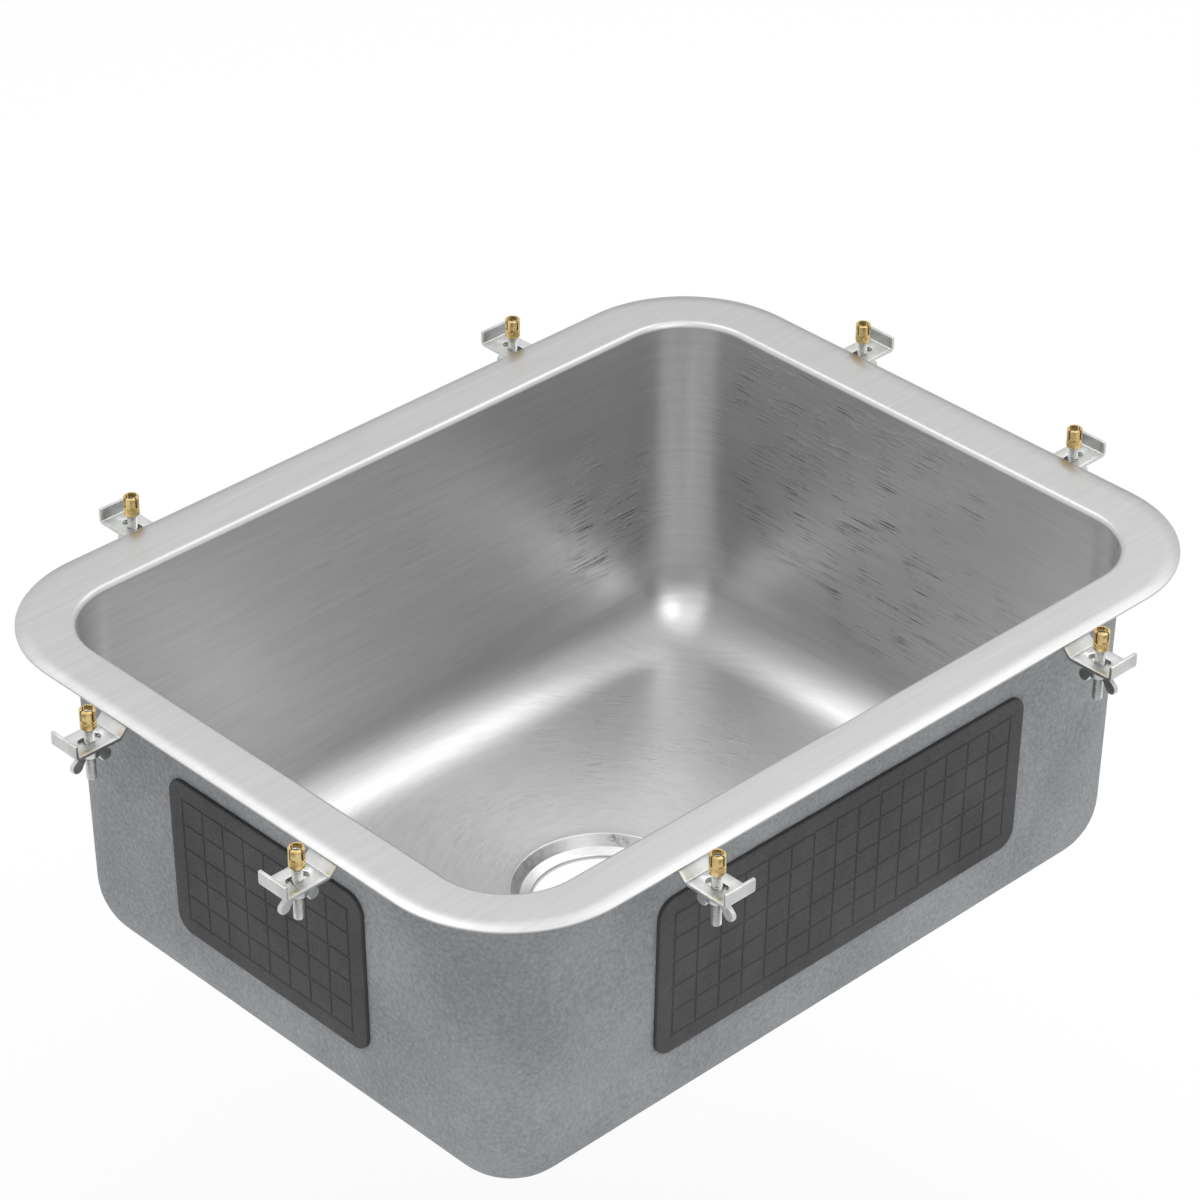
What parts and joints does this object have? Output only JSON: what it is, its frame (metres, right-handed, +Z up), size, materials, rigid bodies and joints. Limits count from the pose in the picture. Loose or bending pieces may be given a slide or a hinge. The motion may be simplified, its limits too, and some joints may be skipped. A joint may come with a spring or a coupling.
{
  "type": "undermount kitchen sink",
  "caption": "Deep pressed stainless kitchen sink bowl with rounded corners, a flat hidden flange, a central drain opening and clip hardware that hangs it under a worktop.",
  "frame": {"origin": "centre of the mouth in the flange's top plane, which lies against the worktop's underside, in the middle of the inserts", "axes": "+Z up out of the bowl, +X along the long sides to the right, +Y to the back wall"},
  "size_m": [0.665, 0.5316, 0.2493],
  "materials": {
    "steel": "brushed stainless steel, 18 gauge, strokes along the walls and round the drain on the floor",
    "undercoat": "sprayed sound-deadening undercoat, pebbled, matte grey",
    "pad": "pressed rubber sound pad, matte",
    "brass": "turned and knurled brass",
    "stud": "zinc-plated rolled thread",
    "clip": "zinc-plated bent steel",
    "washer": "zinc-plated stamped steel",
    "wing_nut": "zinc-plated cast wing nut"
  },
  "bodies": {
    "root": {"bowl": "steel", "undercoat": "undercoat", "bottom_pad_left": "pad", "bottom_pad_right": "pad", "back_pad": "pad", "front_pad": "pad", "left_pad": "pad", "right_pad": "pad", "insert_back_left": "brass", "insert_back_right": "brass", "insert_front_left": "brass", "insert_front_right": "brass", "insert_left_back": "brass", "insert_left_front": "brass", "insert_right_back": "brass", "insert_right_front": "brass", "stud_back_left": "stud", "stud_back_right": "stud", "stud_front_left": "stud", "stud_front_right": "stud", "stud_left_back": "stud", "stud_left_front": "stud", "stud_right_back": "stud", "stud_right_front": "stud"},
    "washer_back_left": {"washer_back_left": "washer"},
    "wing_nut_back_left": {"wing_nut_back_left": "wing_nut"},
    "clip_back_left": {"clip_back_left": "clip"},
    "washer_back_right": {"washer_back_right": "washer"},
    "wing_nut_back_right": {"wing_nut_back_right": "wing_nut"},
    "clip_back_right": {"clip_back_right": "clip"},
    "washer_front_left": {"washer_front_left": "washer"},
    "wing_nut_front_left": {"wing_nut_front_left": "wing_nut"},
    "clip_front_left": {"clip_front_left": "clip"},
    "washer_front_right": {"washer_front_right": "washer"},
    "wing_nut_front_right": {"wing_nut_front_right": "wing_nut"},
    "clip_front_right": {"clip_front_right": "clip"},
    "washer_left_back": {"washer_left_back": "washer"},
    "wing_nut_left_back": {"wing_nut_left_back": "wing_nut"},
    "clip_left_back": {"clip_left_back": "clip"},
    "washer_left_front": {"washer_left_front": "washer"},
    "wing_nut_left_front": {"wing_nut_left_front": "wing_nut"},
    "clip_left_front": {"clip_left_front": "clip"},
    "washer_right_back": {"washer_right_back": "washer"},
    "wing_nut_right_back": {"wing_nut_right_back": "wing_nut"},
    "clip_right_back": {"clip_right_back": "clip"},
    "washer_right_front": {"washer_right_front": "washer"},
    "wing_nut_right_front": {"wing_nut_right_front": "wing_nut"},
    "clip_right_front": {"clip_right_front": "clip"}
  },
  "joints": [
    {"name": "drop_back_left", "type": "slide", "parent": "root", "child": "washer_back_left", "axis": [0, 0, -1], "range_m": [0, 0.00762]},
    {"name": "nut_back_left", "type": "hinge", "parent": "washer_back_left", "child": "wing_nut_back_left", "pos_m": [-0.1559, 0.24777, -0.0116], "axis": [0, 0, -1], "range_deg": [0, 2160]},
    {"name": "swing_back_left", "type": "hinge", "parent": "washer_back_left", "child": "clip_back_left", "pos_m": [-0.1559, 0.24777, -0.009], "axis": [0, 0, 1], "range_deg": [-90, 90]},
    {"name": "drop_back_right", "type": "slide", "parent": "root", "child": "washer_back_right", "axis": [0, 0, -1], "range_m": [0, 0.00762]},
    {"name": "nut_back_right", "type": "hinge", "parent": "washer_back_right", "child": "wing_nut_back_right", "pos_m": [0.1559, 0.24777, -0.0116], "axis": [0, 0, -1], "range_deg": [0, 2160]},
    {"name": "swing_back_right", "type": "hinge", "parent": "washer_back_right", "child": "clip_back_right", "pos_m": [0.1559, 0.24777, -0.009], "axis": [0, 0, 1], "range_deg": [-90, 90]},
    {"name": "drop_front_left", "type": "slide", "parent": "root", "child": "washer_front_left", "axis": [0, 0, -1], "range_m": [0, 0.00762]},
    {"name": "nut_front_left", "type": "hinge", "parent": "washer_front_left", "child": "wing_nut_front_left", "pos_m": [-0.1559, -0.24777, -0.0116], "axis": [0, 0, -1], "range_deg": [0, 2160]},
    {"name": "swing_front_left", "type": "hinge", "parent": "washer_front_left", "child": "clip_front_left", "pos_m": [-0.1559, -0.24777, -0.009], "axis": [0, 0, 1], "range_deg": [-90, 90]},
    {"name": "drop_front_right", "type": "slide", "parent": "root", "child": "washer_front_right", "axis": [0, 0, -1], "range_m": [0, 0.00762]},
    {"name": "nut_front_right", "type": "hinge", "parent": "washer_front_right", "child": "wing_nut_front_right", "pos_m": [0.1559, -0.24777, -0.0116], "axis": [0, 0, -1], "range_deg": [0, 2160]},
    {"name": "swing_front_right", "type": "hinge", "parent": "washer_front_right", "child": "clip_front_right", "pos_m": [0.1559, -0.24777, -0.009], "axis": [0, 0, 1], "range_deg": [-90, 90]},
    {"name": "drop_left_back", "type": "slide", "parent": "root", "child": "washer_left_back", "axis": [0, 0, -1], "range_m": [0, 0.00762]},
    {"name": "nut_left_back", "type": "hinge", "parent": "washer_left_back", "child": "wing_nut_left_back", "pos_m": [-0.31445, 0.08922, -0.0116], "axis": [0, 0, -1], "range_deg": [0, 2160]},
    {"name": "swing_left_back", "type": "hinge", "parent": "washer_left_back", "child": "clip_left_back", "pos_m": [-0.31445, 0.08922, -0.009], "axis": [0, 0, 1], "range_deg": [-90, 90]},
    {"name": "drop_left_front", "type": "slide", "parent": "root", "child": "washer_left_front", "axis": [0, 0, -1], "range_m": [0, 0.00762]},
    {"name": "nut_left_front", "type": "hinge", "parent": "washer_left_front", "child": "wing_nut_left_front", "pos_m": [-0.31445, -0.08922, -0.0116], "axis": [0, 0, -1], "range_deg": [0, 2160]},
    {"name": "swing_left_front", "type": "hinge", "parent": "washer_left_front", "child": "clip_left_front", "pos_m": [-0.31445, -0.08922, -0.009], "axis": [0, 0, 1], "range_deg": [-90, 90]},
    {"name": "drop_right_back", "type": "slide", "parent": "root", "child": "washer_right_back", "axis": [0, 0, -1], "range_m": [0, 0.00762]},
    {"name": "nut_right_back", "type": "hinge", "parent": "washer_right_back", "child": "wing_nut_right_back", "pos_m": [0.31445, 0.08922, -0.0116], "axis": [0, 0, -1], "range_deg": [0, 2160]},
    {"name": "swing_right_back", "type": "hinge", "parent": "washer_right_back", "child": "clip_right_back", "pos_m": [0.31445, 0.08922, -0.009], "axis": [0, 0, 1], "range_deg": [-90, 90]},
    {"name": "drop_right_front", "type": "slide", "parent": "root", "child": "washer_right_front", "axis": [0, 0, -1], "range_m": [0, 0.00762]},
    {"name": "nut_right_front", "type": "hinge", "parent": "washer_right_front", "child": "wing_nut_right_front", "pos_m": [0.31445, -0.08922, -0.0116], "axis": [0, 0, -1], "range_deg": [0, 2160]},
    {"name": "swing_right_front", "type": "hinge", "parent": "washer_right_front", "child": "clip_right_front", "pos_m": [0.31445, -0.08922, -0.009], "axis": [0, 0, 1], "range_deg": [-90, 90]}
  ],
  "couplings": [
    {"joint": "nut_back_left", "follows": "drop_back_left", "rad_per_m": 4947.4},
    {"joint": "nut_back_right", "follows": "drop_back_right", "rad_per_m": 4947.4},
    {"joint": "nut_front_left", "follows": "drop_front_left", "rad_per_m": 4947.4},
    {"joint": "nut_front_right", "follows": "drop_front_right", "rad_per_m": 4947.4},
    {"joint": "nut_left_back", "follows": "drop_left_back", "rad_per_m": 4947.4},
    {"joint": "nut_left_front", "follows": "drop_left_front", "rad_per_m": 4947.4},
    {"joint": "nut_right_back", "follows": "drop_right_back", "rad_per_m": 4947.4},
    {"joint": "nut_right_front", "follows": "drop_right_front", "rad_per_m": 4947.4}
  ]
}
